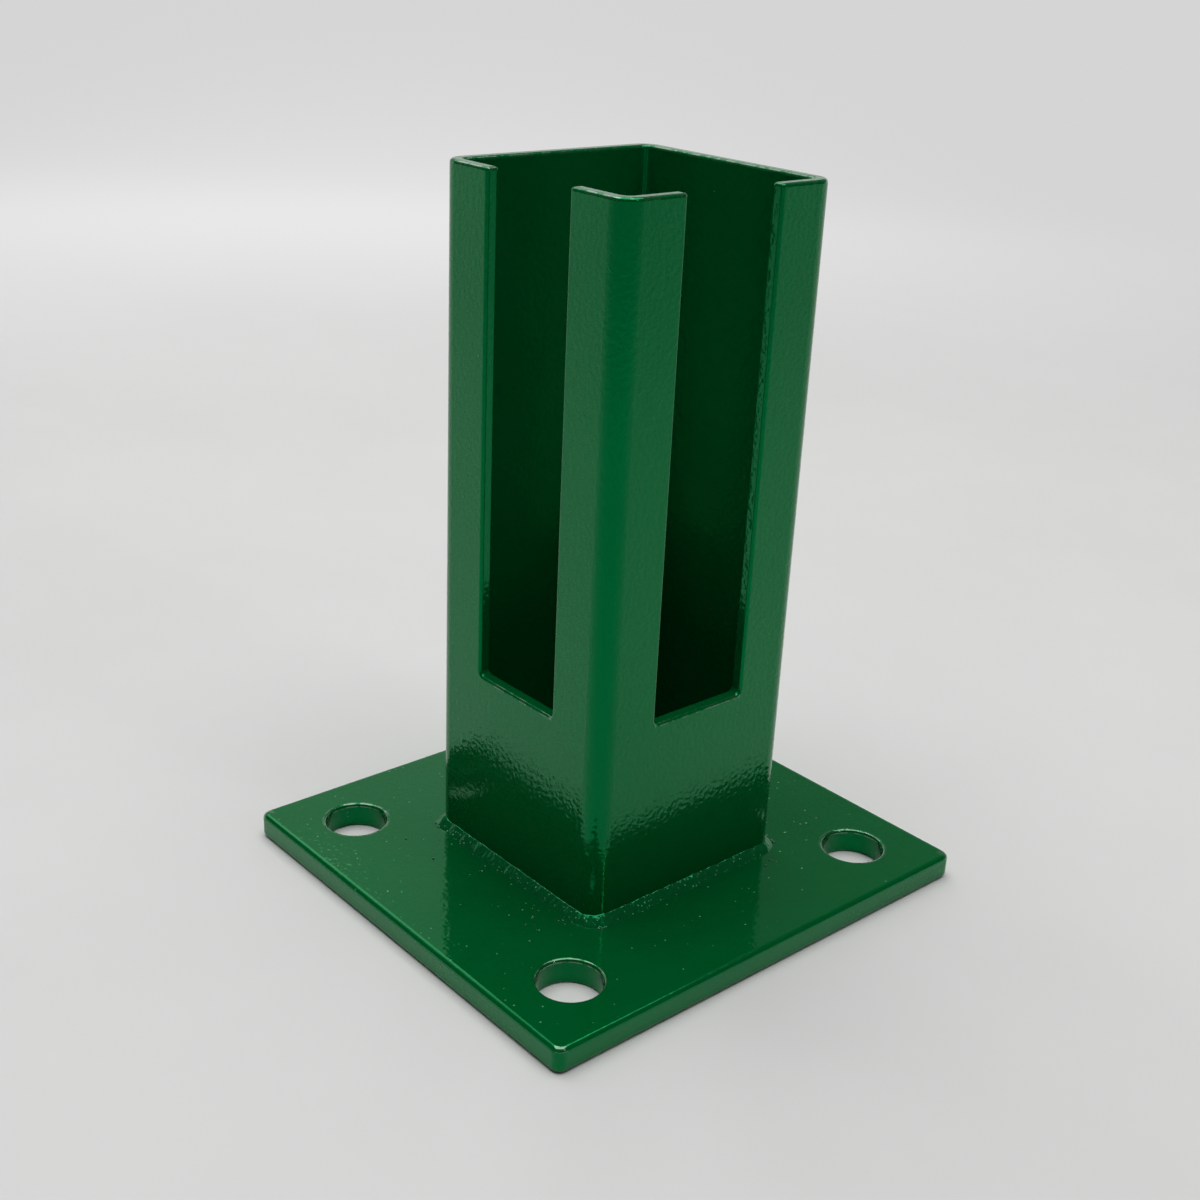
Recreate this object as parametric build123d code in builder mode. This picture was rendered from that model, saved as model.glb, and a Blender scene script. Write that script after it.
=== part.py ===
from build123d import *
import os

# Driving dimensions, in millimetres.
# The origin is the middle of the plate's underside, and +Z is up.

# Base plate: cut from flat bar, a little longer along Y than along X.
plate_length_x = 150.0
plate_length_y = 160.0
plate_thickness = 8.0
plate_corner_radius = 3.0
plate_edge_radius = 1.6

# Anchor holes: one near each corner of the plate, drilled straight through.
hole_diameter = 19.0
hole_edge_distance = 22.0
hole_rim_radius = 0.8

# Post: square hollow section, cut square at both ends and stood on the plate.
post_size = 75.0
post_wall = 4.0
post_height = 205.0
post_outer_radius = 6.0
post_inner_radius = 2.0
post_edge_radius = 1.0

# Slots: one in each of two neighbouring walls, open at the top.
slot_width = 33.5
slot_depth = 146.0
slot_corner_radius = 1.5
slot_cut_margin = 2.0

# Foot weld: one bead laid round the outside of the post's foot.
weld_leg = 2.5
weld_crown = 0.2

# Sizes that follow from the ones above.
hole_spacing_x = plate_length_x - 2 * hole_edge_distance
hole_spacing_y = plate_length_y - 2 * hole_edge_distance
socket_size = post_size - 2 * post_wall
post_top = plate_thickness + post_height
slot_floor = post_top - slot_depth
half_post = post_size / 2


# Base plate: rounded outline, four anchor holes, every edge softened.
with BuildPart() as base_plate:
    with BuildSketch(Plane.XY):
        RectangleRounded(plate_length_x, plate_length_y, plate_corner_radius)
        with GridLocations(hole_spacing_x, hole_spacing_y, 2, 2):
            Circle(hole_diameter / 2, mode=Mode.SUBTRACT)
    extrude(amount=plate_thickness)
    flat_faces = base_plate.faces().filter_by(Axis.Z)
    outline_edges = [face.outer_wire().edges() for face in flat_faces]
    fillet(outline_edges, radius=plate_edge_radius)
    hole_rims = base_plate.edges().filter_by(GeomType.CIRCLE)
    hole_rims = hole_rims.filter_by(lambda edge: abs(edge.radius - hole_diameter / 2) < 0.01)
    fillet(hole_rims, radius=hole_rim_radius)


# Post: hollow square with rounded corners, then the two slots, then softened cut edges.
with BuildPart() as slotted_post:
    with BuildSketch(Plane.XY.offset(plate_thickness)):
        RectangleRounded(post_size, post_size, post_outer_radius)
        RectangleRounded(socket_size, socket_size, post_inner_radius, mode=Mode.SUBTRACT)
    extrude(amount=post_height)
    # The front wall faces -Y and the side wall faces +X. Both planes look outward.
    for wall_plane in (Plane.XZ, Plane.YZ):
        with BuildSketch(wall_plane.offset(half_post)) as slot_outline:
            with Locations((0, slot_floor)):
                Rectangle(slot_width, slot_depth + slot_cut_margin, align=(Align.CENTER, Align.MIN))
            fillet(slot_outline.vertices().group_by(Axis.Y)[0], radius=slot_corner_radius)
        extrude(amount=-(post_wall + slot_cut_margin), mode=Mode.SUBTRACT)
    # Every edge that stays clear of the foot is a sawn edge: the top rims and the slots.
    sawn_edges = slotted_post.edges().filter_by(lambda edge: edge.bounding_box().min.Z > slot_floor - 0.01)
    fillet(sawn_edges, radius=post_edge_radius)


# Foot weld: a low bead with a slightly raised face, swept once round the post's outline.
weld_run = slotted_post.faces().sort_by(Axis.Z)[0].outer_wire()
run_direction = weld_run % 0
outward = run_direction.cross(Vector(0, 0, 1))
outward = outward if outward.dot(weld_run @ 0) > 0 else -outward
crown_point = weld_leg / 2 + weld_crown
with BuildPart() as foot_weld:
    # The section has its heel on the run, one leg on the plate and one leg up the post.
    with BuildSketch(Plane(origin=weld_run @ 0, x_dir=outward, z_dir=outward.cross(Vector(0, 0, 1)))):
        with BuildLine():
            Line((0, 0), (weld_leg, 0))
            ThreePointArc((weld_leg, 0), (crown_point, crown_point), (0, weld_leg))
            Line((0, weld_leg), (0, 0))
        make_face()
    sweep(path=weld_run)


base_plate.part.label = "base_plate"
slotted_post.part.label = "slotted_post"
foot_weld.part.label = "foot_weld"

os.makedirs("parts", exist_ok=True)
export_step(base_plate.part, "parts/base_plate.step")
export_step(slotted_post.part, "parts/slotted_post.step")
export_step(foot_weld.part, "parts/foot_weld.step")
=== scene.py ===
import math
import random

import bmesh
import bpy
from mathutils import Matrix, Quaternion, Vector, noise


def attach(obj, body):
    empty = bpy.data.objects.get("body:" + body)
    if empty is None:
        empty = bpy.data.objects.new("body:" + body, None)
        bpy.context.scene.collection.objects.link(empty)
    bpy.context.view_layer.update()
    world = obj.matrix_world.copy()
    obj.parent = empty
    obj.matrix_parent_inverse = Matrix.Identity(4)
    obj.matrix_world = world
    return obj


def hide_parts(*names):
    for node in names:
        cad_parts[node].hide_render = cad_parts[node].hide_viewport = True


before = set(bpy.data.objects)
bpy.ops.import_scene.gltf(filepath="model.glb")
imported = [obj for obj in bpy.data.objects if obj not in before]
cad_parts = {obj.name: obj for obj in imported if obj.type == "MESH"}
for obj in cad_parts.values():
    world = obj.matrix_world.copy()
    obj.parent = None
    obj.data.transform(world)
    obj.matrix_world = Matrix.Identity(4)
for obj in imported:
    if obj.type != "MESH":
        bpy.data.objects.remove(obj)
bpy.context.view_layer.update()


# Base plate: 8 mm flat bar, cut to size and drilled near each corner for an anchor bolt.
# It is sprayed with a gloss moss-green powder coat after the post is welded on, and the
# coat dries with a faint orange peel and a few specks of dust under its skin.

def add_node(tree, kind, name, **settings):
    """Adds one shader node and sets its plain attributes."""
    made = tree.nodes.new(kind)
    made.name = name
    made.label = name
    for key, value in settings.items():
        setattr(made, key, value)
    return made


def feed(tree, node, socket, source):
    """Sets one input of a node. A (node, output) pair is linked, and a plain value is set."""
    if isinstance(source, tuple) and isinstance(source[0], bpy.types.Node):
        tree.links.new(source[0].outputs[source[1]], node.inputs[socket])
    elif source is not None:
        node.inputs[socket].default_value = source


def calculate(tree, name, operation, first, second=None, clamp=False):
    """Adds a Math node and gives its result as a (node, output) pair."""
    made = add_node(tree, "ShaderNodeMath", name, operation=operation, use_clamp=clamp)
    feed(tree, made, 0, first)
    feed(tree, made, 1, second)
    return made, 0


def calculate_vector(tree, name, operation, first, second=None, output="Vector"):
    """Adds a Vector Math node. Its output is Vector, or Value where it measures a length."""
    made = add_node(tree, "ShaderNodeVectorMath", name, operation=operation)
    feed(tree, made, 0, first)
    feed(tree, made, 1, second)
    return made, output


def change_range(tree, name, source, start, end, first=0.0, last=1.0, easing="SMOOTHSTEP"):
    """Goes from a first to a last value while the source goes from start to end."""
    made = add_node(tree, "ShaderNodeMapRange", name, interpolation_type=easing)
    sockets = ("Value", "From Min", "From Max", "To Min", "To Max")
    for socket, value in zip(sockets, (source, start, end, first, last)):
        feed(tree, made, socket, value)
    return made, "Result"


def mix_colors(tree, name, share, first, second):
    """Mixes two colours by a share. A Mix node has its colours at inputs 6 and 7."""
    made = add_node(tree, "ShaderNodeMix", name, data_type="RGBA")
    for socket, source in ((0, share), (6, first), (7, second)):
        feed(tree, made, socket, source)
    return made, 2


def add_noise(tree, name, position, size, detail=2.0, roughness=0.5):
    """Adds noise laid out in metres: size is the width of its largest patches."""
    made = add_node(tree, "ShaderNodeTexNoise", name, noise_dimensions="3D")
    feed(tree, made, "Vector", position)
    feed(tree, made, "Scale", calculate(tree, name + " Scale", "DIVIDE", 1.0, size))
    feed(tree, made, "Detail", detail)
    feed(tree, made, "Roughness", roughness)
    return made, "Fac"


def split_axes(tree, name, source):
    """Splits a vector into its X, Y and Z outputs."""
    made = add_node(tree, "ShaderNodeSeparateXYZ", name)
    feed(tree, made, "Vector", source)
    return made


def mark_near(tree, name, source, target, reach):
    """Marks where a source lies within reach of a target."""
    off = calculate(tree, name + " Off", "SUBTRACT", source, target)
    away = calculate(tree, name + " Away", "ABSOLUTE", off)
    return calculate(tree, name, "LESS_THAN", away, reach)


def start_group(name, inputs, outputs):
    """Starts a shader node group. Inputs and outputs are (name, socket type, value)."""
    tree = bpy.data.node_groups.new(name, "ShaderNodeTree")
    for way, sockets in (("INPUT", inputs), ("OUTPUT", outputs)):
        for label, kind, value in sockets:
            socket = tree.interface.new_socket(label, in_out=way, socket_type=kind)
            if value is not None:
                socket.default_value = value
    return tree, add_node(tree, "NodeGroupInput", "In"), add_node(tree, "NodeGroupOutput", "Out")


def make_orange_peel():
    """The coat's skin: fine ripples on longer, flatter waves. Height is in metres."""
    tree, group_in, group_out = start_group(
        "orange_peel",
        [
            ("Position", "NodeSocketVector", None),
            ("Ripple Size", "NodeSocketFloat", 0.003),
            ("Ripple Height", "NodeSocketFloat", 0.00001),
            ("Wave Size", "NodeSocketFloat", 0.03),
            ("Wave Height", "NodeSocketFloat", 0.00005),
        ],
        [("Height", "NodeSocketFloat", None)],
    )
    layer_details = (("Ripple", 1.0), ("Wave", 0.0))
    layer_roughness = 0.4
    heights = []
    for label, detail in layer_details:
        size = (group_in, label + " Size")
        pattern = add_noise(tree, label, (group_in, "Position"), size, detail, layer_roughness)
        height = (group_in, label + " Height")
        heights.append(calculate(tree, label + " Rise", "MULTIPLY", pattern, height))
    feed(tree, group_out, "Height", calculate(tree, "Skin", "ADD", heights[0], heights[1]))
    return tree


def make_specks():
    """Dust nibs in the coat: low round rises in a few cells, a little paler on top, partly pale dust
    and partly a painted glint.
    """
    tree, group_in, group_out = start_group(
        "coat_specks",
        [
            ("Position", "NodeSocketVector", None),
            ("Coat Color", "NodeSocketColor", (0.5, 0.5, 0.5, 1.0)),
            ("Speck Dust And Glint Color", "NodeSocketColor", (0.5, 0.5, 0.5, 1.0)),
            ("Spacing", "NodeSocketFloat", 0.006),
            ("Share", "NodeSocketFloat", 0.2),
            ("Radius", "NodeSocketFloat", 0.0004),
            ("Rise", "NodeSocketFloat", 0.0001),
        ],
        [("Color", "NodeSocketColor", None), ("Height", "NodeSocketFloat", None)],
    )
    spacing = (group_in, "Spacing")
    cells = add_node(tree, "ShaderNodeTexVoronoi", "Cells", voronoi_dimensions="3D", feature="F1")
    feed(tree, cells, "Vector", (group_in, "Position"))
    feed(tree, cells, "Scale", calculate(tree, "Cell Scale", "DIVIDE", 1.0, spacing))
    distance = calculate(tree, "Distance", "MULTIPLY", (cells, "Distance"), spacing)
    reach = calculate(tree, "Reach", "DIVIDE", distance, (group_in, "Radius"))
    dome = calculate(tree, "Dome", "SUBTRACT", 1.0, reach, clamp=True)
    soft_dome = change_range(tree, "Soft Dome", dome, 0.0, 1.0)
    cell_draw = add_node(tree, "ShaderNodeSeparateColor", "Cell Draw")
    feed(tree, cell_draw, "Color", (cells, "Color"))
    drawn = calculate(tree, "Drawn", "LESS_THAN", (cell_draw, "Red"), (group_in, "Share"))
    mask = calculate(tree, "Speck Mask", "MULTIPLY", soft_dome, drawn)
    # Painted glint: the specks' paleness is partly dust and partly a painted highlight on the nibs.
    dust_and_glint_share = calculate(tree, "Paleness", "MULTIPLY", mask, (cell_draw, "Green"))
    colors = (group_in, "Coat Color"), (group_in, "Speck Dust And Glint Color")
    feed(tree, group_out, "Color", mix_colors(tree, "Tint", dust_and_glint_share, *colors))
    rise = calculate(tree, "Speck Rise", "MULTIPLY", mask, (group_in, "Rise"))
    feed(tree, group_out, "Height", rise)
    return tree


def make_shade_drift():
    """Slow changes of tone and gloss between two tones."""
    tree, group_in, group_out = start_group(
        "shade_drift",
        [
            ("Position", "NodeSocketVector", None),
            ("First Tone", "NodeSocketColor", (0.5, 0.5, 0.5, 1.0)),
            ("Second Tone", "NodeSocketColor", (0.5, 0.5, 0.5, 1.0)),
            ("Patch Size", "NodeSocketFloat", 0.02),
            ("Roughness Low", "NodeSocketFloat", 0.1),
            ("Roughness High", "NodeSocketFloat", 0.2),
        ],
        [("Color", "NodeSocketColor", None), ("Roughness", "NodeSocketFloat", None)],
    )
    patch_detail = 5.0
    patch_roughness = 0.65
    first_only_below = 0.3
    second_only_above = 0.7
    size = (group_in, "Patch Size")
    patches = add_noise(tree, "Patches", (group_in, "Position"), size, patch_detail, patch_roughness)
    spread = change_range(tree, "Spread", patches, first_only_below, second_only_above)
    tones = (group_in, "First Tone"), (group_in, "Second Tone")
    feed(tree, group_out, "Color", mix_colors(tree, "Tone", spread, *tones))
    limits = (group_in, "Roughness Low"), (group_in, "Roughness High")
    gloss = change_range(tree, "Gloss", spread, 0.0, 1.0, *limits, easing="LINEAR")
    feed(tree, group_out, "Roughness", gloss)
    return tree


def break_up(tree, group_in, mask, none_below, all_above):
    """Keeps a mask in short stretches only, where noise rises from one level to another."""
    breaks = add_noise(tree, "Breaks", (group_in, "Position"), (group_in, "Break Size"))
    stretches = change_range(tree, "Stretches", breaks, none_below, all_above)
    return calculate(tree, "Broken Mask", "MULTIPLY", mask, stretches)


def make_hole_rims():
    """Marks the anchor holes' rims and the corners on the plate's top, with breaks."""
    tree, group_in, group_out = start_group(
        "hole_rims",
        [
            ("Position", "NodeSocketVector", None),
            ("Half Spacing", "NodeSocketVector", (0.05, 0.05, 0.0)),
            ("Rim Radius", "NodeSocketFloat", 0.01),
            ("Rim Reach", "NodeSocketFloat", 0.0006),
            ("Rim Height", "NodeSocketFloat", 0.007),
            ("Corner Start", "NodeSocketVector", (0.07, 0.07, 0.0)),
            ("Break Size", "NodeSocketFloat", 0.002),
        ],
        [("Mask", "NodeSocketFloat", None)],
    )
    level_only = (1.0, 1.0, 0.0)
    none_below = 0.38
    all_above = 0.52
    position = (group_in, "Position")
    quarter = calculate_vector(tree, "Quarter", "ABSOLUTE", position)
    off_axis = calculate_vector(tree, "Off Axis", "SUBTRACT", quarter, (group_in, "Half Spacing"))
    off_axis = calculate_vector(tree, "Off Axis Level", "MULTIPLY", off_axis, level_only)
    radius = calculate_vector(tree, "Radius", "LENGTH", off_axis, output="Value")
    ring = mark_near(tree, "Ring", radius, (group_in, "Rim Radius"), (group_in, "Rim Reach"))
    past = calculate_vector(tree, "Past Start", "SUBTRACT", quarter, (group_in, "Corner Start"))
    past_axes = split_axes(tree, "Past Axes", past)
    past_both = calculate(tree, "Past Both", "MINIMUM", (past_axes, "X"), (past_axes, "Y"))
    at_corner = calculate(tree, "At Corner", "GREATER_THAN", past_both, 0.0)
    marked = calculate(tree, "Rims And Corners", "MAXIMUM", ring, at_corner)
    height = (split_axes(tree, "Axes", position), "Z")
    on_top = calculate(tree, "On Top", "GREATER_THAN", height, (group_in, "Rim Height"))
    marked = calculate(tree, "Marked On Top", "MULTIPLY", marked, on_top)
    feed(tree, group_out, "Mask", break_up(tree, group_in, marked, none_below, all_above))
    return tree


orange_peel = make_orange_peel()
coat_specks = make_specks()
shade_drift = make_shade_drift()
hole_rims = make_hole_rims()

coat_green = (0.0002, 0.089, 0.0190, 1.0)
coat_green_thin = (0.0003, 0.097, 0.0225, 1.0)
coat_glint = (0.0, 1.0, 0.29, 1.0)
# Painted glint: the specks' pale colour is partly dust and partly a painted highlight on the nibs.
pale_dust_and_glint = (0.30, 0.52, 0.38, 1.0)
coat_ior = 1.85
rim_coat_ior = 1.8
rim_coat_roughness = 0.08


def add_group(tree, group, name, values, position):
    """Places a node group in a material, fed by a position and set to its own values."""
    made = add_node(tree, "ShaderNodeGroup", name, node_tree=group)
    for key, value in values.items():
        made.inputs[key].default_value = value
    feed(tree, made, "Position", position)
    return made


def make_powder_coat(name, peel, specks, drift, glint, rim_group=None, rim_values=None):
    """Gloss green powder coat, with the peel, specks and drift of tone of one piece."""
    material = bpy.data.materials.new(name)
    material.use_nodes = True
    tree = material.node_tree
    shader = tree.nodes["Principled BSDF"]
    position = (add_node(tree, "ShaderNodeTexCoord", "Position"), "Object")
    peel_node = add_group(tree, orange_peel, "Peel", peel, position)
    speck_node = add_group(tree, coat_specks, "Specks", specks, position)
    drift_node = add_group(tree, shade_drift, "Drift", drift, position)
    relief = add_node(tree, "ShaderNodeBump", "Relief")
    relief.inputs["Strength"].default_value = 1.0
    relief.inputs["Distance"].default_value = 1.0
    skin = calculate(tree, "Skin", "ADD", (peel_node, "Height"), (speck_node, "Height"))
    feed(tree, relief, "Height", skin)
    feed(tree, shader, "Normal", (relief, "Normal"))
    feed(tree, speck_node, "Coat Color", (drift_node, "Color"))
    feed(tree, shader, "Base Color", (speck_node, "Color"))
    feed(tree, shader, "Roughness", (drift_node, "Roughness"))
    shader.inputs["IOR"].default_value = coat_ior
    shader.inputs["Specular Tint"].default_value = glint
    if rim_group is not None:
        rim_node = add_group(tree, rim_group, "Rims", rim_values, position)
        feed(tree, shader, "Coat Weight", (rim_node, "Mask"))
        shader.inputs["Coat IOR"].default_value = rim_coat_ior
        shader.inputs["Coat Roughness"].default_value = rim_coat_roughness
    return material


plate_coat = make_powder_coat(
    "plate_powder_coat",
    {
        "Ripple Size": 0.0017,
        "Ripple Height": 0.000055,
        "Wave Size": 0.022,
        "Wave Height": 0.00006,
    },
    {
        "Speck Dust And Glint Color": pale_dust_and_glint,
        "Spacing": 0.0026,
        "Share": 0.42,
        "Radius": 0.00038,
        "Rise": 0.00010,
    },
    {
        "First Tone": coat_green_thin,
        "Second Tone": coat_green,
        "Patch Size": 0.018,
        "Roughness Low": 0.05,
        "Roughness High": 0.09,
    },
    coat_glint,
    hole_rims,
    {
        "Half Spacing": (0.053, 0.058, 0.0),
        "Rim Radius": 0.0100,
        "Rim Reach": 0.0007,
        "Rim Height": 0.0068,
        "Corner Start": (0.0715, 0.0765, 0.0),
        "Break Size": 0.0022,
    },
)
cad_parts["base_plate"].material_slots[0].material = plate_coat


# Post: a length of 75 mm square hollow section, sawn square at both ends, with a slot
# down from the top in each of two neighbouring walls. It stands on the plate and carries
# the same powder coat inside and out, which is rippled more deeply than on the bar.

def make_cut_rims():
    """Marks short stretches of the sawn top's edges and of the slots' lower edges."""
    tree, group_in, group_out = start_group(
        "cut_rims",
        [
            ("Position", "NodeSocketVector", None),
            ("Rim Height", "NodeSocketFloat", 0.2),
            ("Rim Reach", "NodeSocketFloat", 0.0005),
            ("Slot Floor", "NodeSocketFloat", 0.07),
            ("Floor Reach", "NodeSocketFloat", 0.0005),
            ("Half Slot", "NodeSocketFloat", 0.02),
            ("Break Size", "NodeSocketFloat", 0.002),
        ],
        [("Mask", "NodeSocketFloat", None)],
    )
    none_below = 0.44
    all_above = 0.56
    position = (group_in, "Position")
    axes = split_axes(tree, "Axes", position)
    sides = split_axes(tree, "Sides", calculate_vector(tree, "Either Side", "ABSOLUTE", position))
    at_rim = mark_near(tree, "At Rim", (axes, "Z"), (group_in, "Rim Height"), (group_in, "Rim Reach"))
    floor_height = (group_in, "Slot Floor")
    at_floor = mark_near(tree, "At Floor", (axes, "Z"), floor_height, (group_in, "Floor Reach"))
    nearer = calculate(tree, "Nearer Side", "MINIMUM", (sides, "X"), (sides, "Y"))
    in_slot = calculate(tree, "In Slot", "LESS_THAN", nearer, (group_in, "Half Slot"))
    slotted_walls = calculate(tree, "Slotted Walls", "GREATER_THAN", (axes, "X"), (axes, "Y"))
    at_floor = calculate(tree, "Floor In Slot", "MULTIPLY", at_floor, in_slot)
    at_floor = calculate(tree, "Floor Of Real Slot", "MULTIPLY", at_floor, slotted_walls)
    marked = calculate(tree, "Rims And Floors", "MAXIMUM", at_rim, at_floor)
    feed(tree, group_out, "Mask", break_up(tree, group_in, marked, none_below, all_above))
    return tree


cut_rims = make_cut_rims()

post_coat = make_powder_coat(
    "post_powder_coat",
    {
        "Ripple Size": 0.0015,
        "Ripple Height": 0.000095,
        "Wave Size": 0.030,
        "Wave Height": 0.00022,
    },
    {
        "Speck Dust And Glint Color": pale_dust_and_glint,
        "Spacing": 0.005,
        "Share": 0.2,
        "Radius": 0.00026,
        "Rise": 0.00008,
    },
    {
        "First Tone": coat_green_thin,
        "Second Tone": coat_green,
        "Patch Size": 0.025,
        "Roughness Low": 0.09,
        "Roughness High": 0.13,
    },
    coat_glint,
    cut_rims,
    {
        "Rim Height": 0.21250,
        "Rim Reach": 0.00046,
        "Slot Floor": 0.06650,
        "Floor Reach": 0.00046,
        "Half Slot": 0.0168,
        "Break Size": 0.003,
    },
)
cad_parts["slotted_post"].material_slots[0].material = post_coat


# Foot weld: one fillet bead of steel run round the outside of the post's foot, with
# the ripples of its puddle and a lump at each start and stop of the run. The powder
# coat covers it and rounds it off.

post_size = 0.075
post_corner_radius = 0.006
plate_top = 0.008
bead_leg = 0.0025
bead_crown = 0.00005
bead_root = 0.0004
leg_wander = 0.12
leg_wander_beats = 14
leg_wander_slice = 0.3
grain_rise = 0.00010
grain_density = 900
grain_depth = 0.002
ripple_pitch = 0.0017
ripple_bend = 0.0012
ripple_rise = 0.00003
bead_steps = 900
bead_profile_steps = 12
run_ends = ((0.990, 0.18), (0.488, 0.10), (0.243, 0.15))
run_end_reach = 0.006


def foot_outline(share):
    """A point and the outward direction on the post's outline, at a share of its round."""
    straight = post_size - 2 * post_corner_radius
    turn = math.pi / 2 * post_corner_radius
    along = (share % 1.0) * 4 * (straight + turn)
    side = int(along // (straight + turn))
    along -= side * (straight + turn)
    if along < straight:
        place = Vector((-straight / 2 + along, -post_size / 2))
        outward = Vector((0.0, -1.0))
    else:
        angle = -math.pi / 2 + (along - straight) / post_corner_radius
        outward = Vector((math.cos(angle), math.sin(angle)))
        centre = Vector((straight / 2, -straight / 2))
        place = centre + outward * post_corner_radius
    quarter = side * math.pi / 2
    cosine, sine = math.cos(quarter), math.sin(quarter)
    place = Vector((place.x * cosine - place.y * sine, place.x * sine + place.y * cosine))
    outward = Vector((outward.x * cosine - outward.y * sine, outward.x * sine + outward.y * cosine))
    return place, outward


def bead_point(share, lift):
    """A point of the bead: share is round the post, and lift is from plate to wall."""
    place, outward = foot_outline(share)
    round_length = 4 * (post_size - 2 * post_corner_radius + math.pi / 2 * post_corner_radius)
    along = share * round_length
    circle_point = Vector((math.cos(share * math.tau), math.sin(share * math.tau), leg_wander_slice))
    wander = noise.noise(circle_point * leg_wander_beats)
    fine = noise.noise(Vector((place.x, place.y, lift * grain_depth)) * grain_density)
    leg = bead_leg * (1 + leg_wander * wander)
    for end_share, gain in run_ends:
        leg *= 1 + gain * math.exp(-(((share - end_share) / run_end_reach) ** 2))
    belly = math.sin(lift * math.pi)
    phase = (along - ripple_bend * belly) / ripple_pitch
    ripple = ripple_rise * belly * (0.5 + 0.5 * math.cos(math.tau * phase)) ** 2
    crown = bead_crown * belly + ripple + grain_rise * fine
    out = leg * (1 - lift) + crown
    up = leg * lift + crown
    flat = place + outward * out
    return Vector((flat.x, flat.y, plate_top + up))


bead_mesh = bmesh.new()
rings = []
for step in range(bead_steps):
    share = step / bead_steps
    place, outward = foot_outline(share)
    toe_in = place - outward * bead_root
    ring = [bead_point(share, i / bead_profile_steps) for i in range(bead_profile_steps + 1)]
    low_toe = place + outward * (ring[0].xy - place).length
    ring.insert(0, Vector((low_toe.x, low_toe.y, plate_top - bead_root)))
    ring.append(Vector((toe_in.x, toe_in.y, ring[-1].z)))
    ring.append(Vector((toe_in.x, toe_in.y, plate_top - bead_root)))
    rings.append([bead_mesh.verts.new(point) for point in ring])
for step, ring in enumerate(rings):
    following = rings[(step + 1) % bead_steps]
    for i in range(len(ring)):
        k = (i + 1) % len(ring)
        bead_mesh.faces.new((ring[i], following[i], following[k], ring[k]))
bmesh.ops.recalc_face_normals(bead_mesh, faces=bead_mesh.faces)


def finish_mesh(mesh, name):
    """Turns a built mesh into an object with smooth shading and puts it in the scene."""
    for face in mesh.faces:
        face.smooth = True
    data = bpy.data.meshes.new(name)
    mesh.to_mesh(data)
    mesh.free()
    made = bpy.data.objects.new(name, data)
    bpy.context.scene.collection.objects.link(made)
    return made


weld_bead = finish_mesh(bead_mesh, "weld_bead")
weld_glint = (0.05, 1.0, 0.37, 1.0)
weld_green_thin = (0.0012, 0.108, 0.0280, 1.0)
weld_coat = make_powder_coat(
    "weld_powder_coat",
    {
        "Ripple Size": 0.0012,
        "Ripple Height": 0.00007,
        "Wave Size": 0.005,
        "Wave Height": 0.00010,
    },
    {
        "Speck Dust And Glint Color": pale_dust_and_glint,
        "Spacing": 0.0011,
        "Share": 0.60,
        "Radius": 0.00034,
        "Rise": 0.00008,
    },
    {
        "First Tone": weld_green_thin,
        "Second Tone": coat_green,
        "Patch Size": 0.003,
        "Roughness Low": 0.10,
        "Roughness High": 0.22,
    },
    weld_glint,
)
weld_bead.data.materials.append(weld_coat)
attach(weld_bead, "root")
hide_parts("foot_weld")


# Weld spatter: grains of steel thrown off while the bead was run. They lie stuck to the
# plate, most of them near the bead and at three corners of the foot. Their coat drifts
# at random towards a paler green, which is a painted highlight.

spatter_seed = 11
spatter_count = 60
corner_spatter_count = 42
corner_shares = (0.243, 0.493, 0.993)
corner_spread = 0.012
corner_away_least = 0.35
corner_away_range = 0.75
spatter_smallest = 0.00014
spatter_largest = 0.00038
spatter_smallness = 1.5
spatter_near = 0.0030
spatter_far = 0.0150
spatter_nearness = 1.8
spatter_sink = 0.35

draw = random.Random(spatter_seed)
spatter_mesh = bmesh.new()
for index in range(spatter_count + corner_spatter_count):
    share = draw.random()
    away = spatter_near + (spatter_far - spatter_near) * draw.random() ** spatter_nearness
    if index >= spatter_count:
        share = corner_shares[index % len(corner_shares)] + corner_spread * (share - 0.5)
        away = spatter_near * (corner_away_least + corner_away_range * draw.random())
    place, outward = foot_outline(share)
    size_share = draw.random() ** spatter_smallness
    radius = spatter_smallest + (spatter_largest - spatter_smallest) * size_share
    spot = place + outward * away
    height = plate_top + radius * (1 - 2 * spatter_sink)
    where = Matrix.Translation(Vector((spot.x, spot.y, height)))
    bmesh.ops.create_icosphere(spatter_mesh, subdivisions=2, radius=radius, matrix=where)
weld_spatter = finish_mesh(spatter_mesh, "weld_spatter")

spatter_glint = (1.0, 1.0, 1.0, 1.0)
# Painted highlight: a paler green that stands in for glints on the grains.
spatter_painted_highlight_green = (0.050, 0.155, 0.080, 1.0)
spatter_green = (0.012, 0.110, 0.040, 1.0)
spatter_coat = make_powder_coat(
    "spatter_powder_coat",
    {
        "Ripple Size": 0.0005,
        "Ripple Height": 0.00002,
        "Wave Size": 0.005,
        "Wave Height": 0.00002,
    },
    {
        "Speck Dust And Glint Color": pale_dust_and_glint,
        "Spacing": 0.0010,
        "Share": 0.6,
        "Radius": 0.00030,
        "Rise": 0.00002,
    },
    {
        "First Tone": spatter_painted_highlight_green,
        "Second Tone": spatter_green,
        "Patch Size": 0.004,
        "Roughness Low": 0.12,
        "Roughness High": 0.25,
    },
    spatter_glint,
)
weld_spatter.data.materials.append(spatter_coat)
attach(weld_spatter, "root")


# Studio board: one pale painted board that the object stands on. It runs on behind the
# object and curves up into a backdrop. Away from the object it glows with a pale tone,
# seen by the camera and in the gloss. This glow is painted light: a painted pool of light
# behind the left side, and painted shade in front of the object and on the upper right.

behind = Vector((-0.741, 0.671, 0.0))
sideways = Vector((0.671, 0.741, 0.0))
sweep_front = -8.0
sweep_bend = 1.3
sweep_radius = 0.6
sweep_top = 2.6
sweep_half_width = 6.0
sweep_bend_steps = 16

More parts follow.
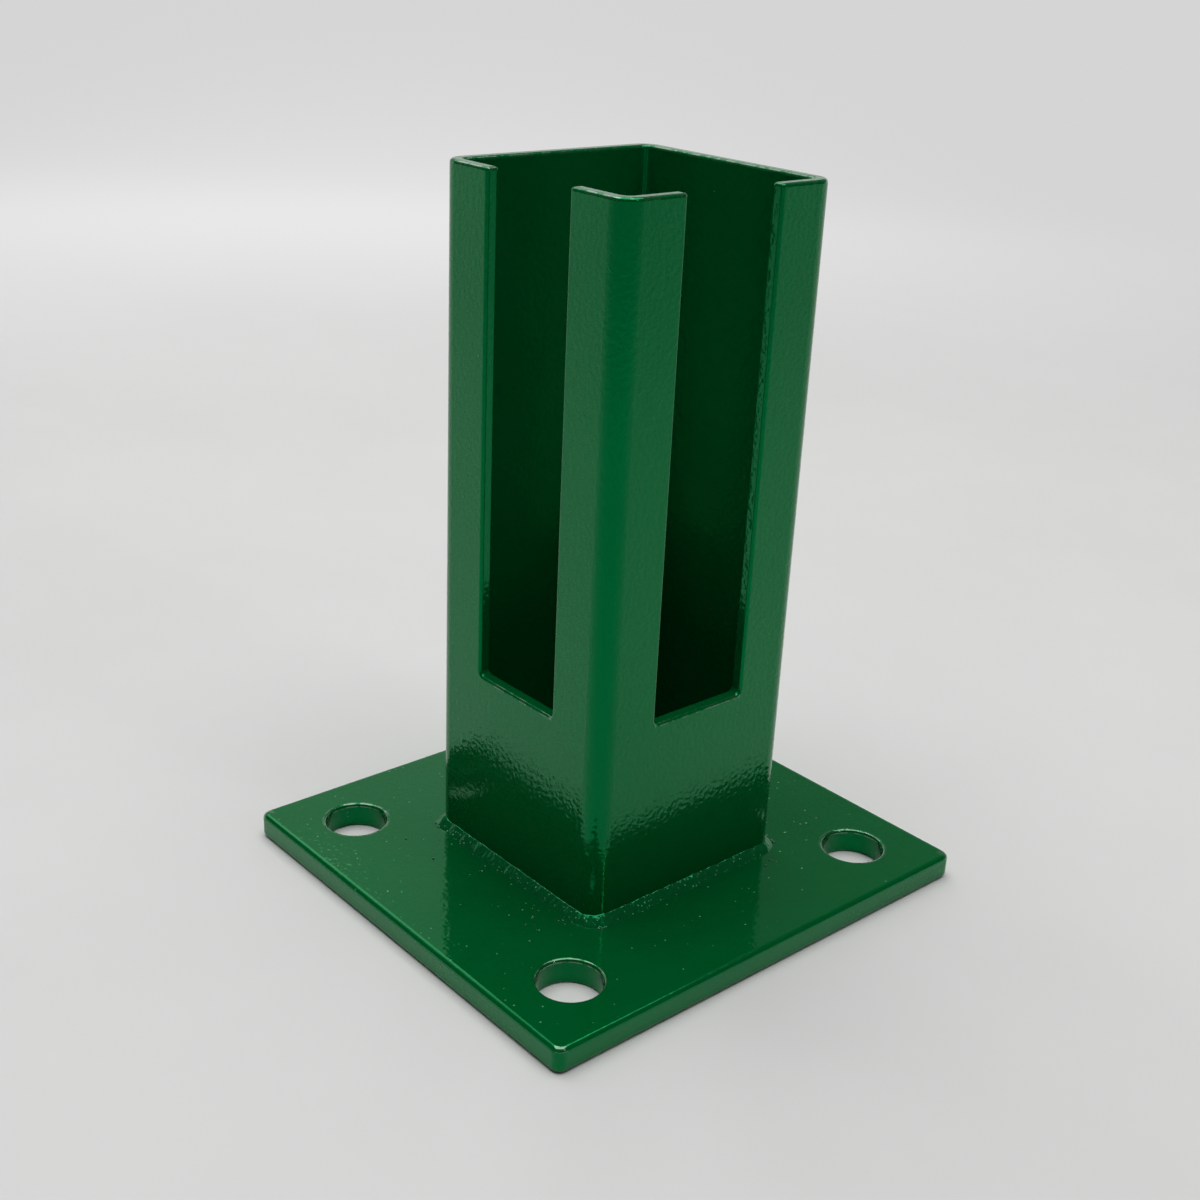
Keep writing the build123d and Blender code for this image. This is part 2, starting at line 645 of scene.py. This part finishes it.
profile = [(sweep_front, 0.0)]
for step in range(sweep_bend_steps + 1):
    turn = math.pi / 2 * step / sweep_bend_steps
    back = sweep_bend + sweep_radius * math.sin(turn)
    profile.append((back, sweep_radius * (1 - math.cos(turn))))
profile.append((sweep_bend + sweep_radius, sweep_top))
sweep_points = []
for back, height in profile:
    for side in (-sweep_half_width, sweep_half_width):
        sweep_points.append(behind * back + sideways * side + Vector((0.0, 0.0, height)))
sweep_faces = [(2 * i, 2 * i + 1, 2 * i + 3, 2 * i + 2) for i in range(len(profile) - 1)]
sweep_mesh = bpy.data.meshes.new("studio_sweep")
sweep_mesh.from_pydata(sweep_points, [], sweep_faces)
sweep_mesh.shade_smooth()
studio_sweep = bpy.data.objects.new("studio_sweep", sweep_mesh)
bpy.context.scene.collection.objects.link(studio_sweep)

board_paint = bpy.data.materials.new("pale_board")
board_paint.use_nodes = True
board_tree = board_paint.node_tree
board_shader = board_tree.nodes["Principled BSDF"]
board_position = (add_node(board_tree, "ShaderNodeTexCoord", "Position"), "Object")
board_drift = add_group(
    board_tree,
    shade_drift,
    "Board Drift",
    {
        "First Tone": (0.725, 0.725, 0.718, 1.0),
        "Second Tone": (0.755, 0.755, 0.748, 1.0),
        "Patch Size": 0.35,
        "Roughness Low": 0.85,
        "Roughness High": 0.95,
    },
    board_position,
)
feed(board_tree, board_shader, "Base Color", (board_drift, "Color"))
feed(board_tree, board_shader, "Roughness", (board_drift, "Roughness"))
board_shader.inputs["Specular IOR Level"].default_value = 0.0

# The lit board gives way to its painted glow between these distances from the object.
lit_reach = 0.45
own_tone_start = 1.25
distance_out = calculate_vector(board_tree, "Distance Out", "LENGTH", board_position, output="Value")
far_share = change_range(board_tree, "Far Share", distance_out, lit_reach, own_tone_start)
rays = add_node(board_tree, "ShaderNodeLightPath", "Rays")
seen = calculate(board_tree, "Seen", "ADD", (rays, "Is Camera Ray"), (rays, "Is Glossy Ray"))
seen = calculate(board_tree, "Seen All", "ADD", seen, (rays, "Is Transmission Ray"), clamp=True)
painted_glow_share = calculate(board_tree, "Painted Glow Share", "MULTIPLY", seen, far_share)

# Painted light: a pool of glow behind the left side fades out over a round patch.
low_tone = 0.665
painted_glow_tone = 0.84
glow_place = behind * 0.9 - sideways * 0.25
glow_reach = 0.9
glow_distance = calculate_vector(
    board_tree, "Glow Distance", "DISTANCE", board_position, glow_place, output="Value"
)
glow = change_range(board_tree, "Glow", glow_distance, 0.0, glow_reach, painted_glow_tone, low_tone)

# Painted shade: the board's glow is dimmer well in front of the object.
painted_shade_front_tone = 0.40
front_end = -0.6
back_start = 0.5
distance_back = calculate_vector(
    board_tree, "Distance Back", "DOT_PRODUCT", board_position, behind, output="Value"
)
low_part = change_range(
    board_tree, "Low Part", distance_back, front_end, back_start, painted_shade_front_tone, glow
)

# Painted shade: the upper part glows dimmer too, and dimmest on the right.
painted_shade_high_left_tone = 0.46
painted_shade_high_right_tone = 0.17
left_end = -0.25
right_start = 0.30
distance_sideways = calculate_vector(
    board_tree, "Distance Sideways", "DOT_PRODUCT", board_position, sideways, output="Value"
)
high_part = change_range(
    board_tree, "High Part", distance_sideways, left_end, right_start, painted_shade_high_left_tone, painted_shade_high_right_tone
)
low_part_end = 0.45
high_part_start = 0.95
board_height = (split_axes(board_tree, "Board Axes", board_position), "Z")
painted_glow_strength = change_range(
    board_tree, "Painted Glow Strength", board_height, low_part_end, high_part_start, low_part, high_part
)
painted_glow_shader = add_node(board_tree, "ShaderNodeEmission", "Painted Glow Shader")
feed(board_tree, painted_glow_shader, "Strength", painted_glow_strength)

blend = add_node(board_tree, "ShaderNodeMixShader", "Blend")
for socket, source in enumerate((painted_glow_share, (board_shader, 0), (painted_glow_shader, 0))):
    feed(board_tree, blend, socket, source)
feed(board_tree, board_tree.nodes["Material Output"], "Surface", (blend, 0))
sweep_mesh.materials.append(board_paint)


# Studio light: a dim room with one wide lamp right over the object and a soft one behind
# its left side. A small lamp behind and a slim one on the right give the gloss its
# bright points.

room_light = 0.05
room_white = (1.0, 1.0, 1.0, 1.0)
world = bpy.data.worlds.new("dim_room")
bpy.context.scene.world = world
world.use_nodes = True
room_background = world.node_tree.nodes["Background"]
room_background.inputs["Color"].default_value = room_white
room_background.inputs["Strength"].default_value = room_light

lamp_target = Vector((0.0, 0.0, 0.08))
over_place = Vector((0.0, 0.0, 2.1))
over_size = (2.6, 1.8)
over_power = 41.5
back_place = Vector((-1.21, 0.152, 1.7))
back_size = (1.4, 1.4)
back_power = 7.0
small_place = behind * 1.05 + Vector((0.0, 0.0, 1.85))
small_size = (0.24, 0.10)
small_power = 0.9
slim_place = Vector((1.109, 0.193, 0.72))
slim_size = (0.05, 0.26)
slim_power = 0.55


def hang_lamp(name, place, size, power):
    """Hangs one flat lamp with its width level, aimed at the post's foot."""
    lamp_data = bpy.data.lights.new(name, "AREA")
    lamp_data.shape = "RECTANGLE"
    lamp_data.size = size[0]
    lamp_data.size_y = size[1]
    lamp_data.energy = power
    lamp = bpy.data.objects.new(name, lamp_data)
    lamp.location = place
    lamp.rotation_mode = "QUATERNION"
    lamp.rotation_quaternion = (lamp_target - place).to_track_quat("-Z", "Y")
    bpy.context.scene.collection.objects.link(lamp)
    return lamp


over_lamp = hang_lamp("over_lamp", over_place, over_size, over_power)
over_lamp.rotation_quaternion = Quaternion((0.0, 0.0, 1.0), math.atan2(sideways.y, sideways.x))
hang_lamp("back_lamp", back_place, back_size, back_power)
hang_lamp("small_lamp", small_place, small_size, small_power)
hang_lamp("slim_lamp", slim_place, slim_size, slim_power)


# Camera: about half a metre from the post's front corner and a little above its top. It
# looks down on the plate and leans slightly to one side.

camera_place = Vector((0.3299, -0.3000, 0.2757))
camera_target = Vector((-0.0030, -0.0033, 0.0818))
camera_roll = math.radians(2.70)
camera_lens = 48.89
camera_shift = 0.015
camera_data = bpy.data.cameras.new("camera")
camera_data.lens = camera_lens
camera_data.shift_y = camera_shift
camera_data.clip_start = 0.01
camera_data.clip_end = 50.0
camera = bpy.data.objects.new("camera", camera_data)
camera.location = camera_place
camera.rotation_mode = "QUATERNION"
camera_aim = (camera_target - camera_place).to_track_quat("-Z", "Y")
camera.rotation_quaternion = camera_aim @ Quaternion((0.0, 0.0, 1.0), camera_roll)
bpy.context.scene.collection.objects.link(camera)
bpy.context.scene.camera = camera

bpy.context.scene.view_settings.view_transform = "Standard"
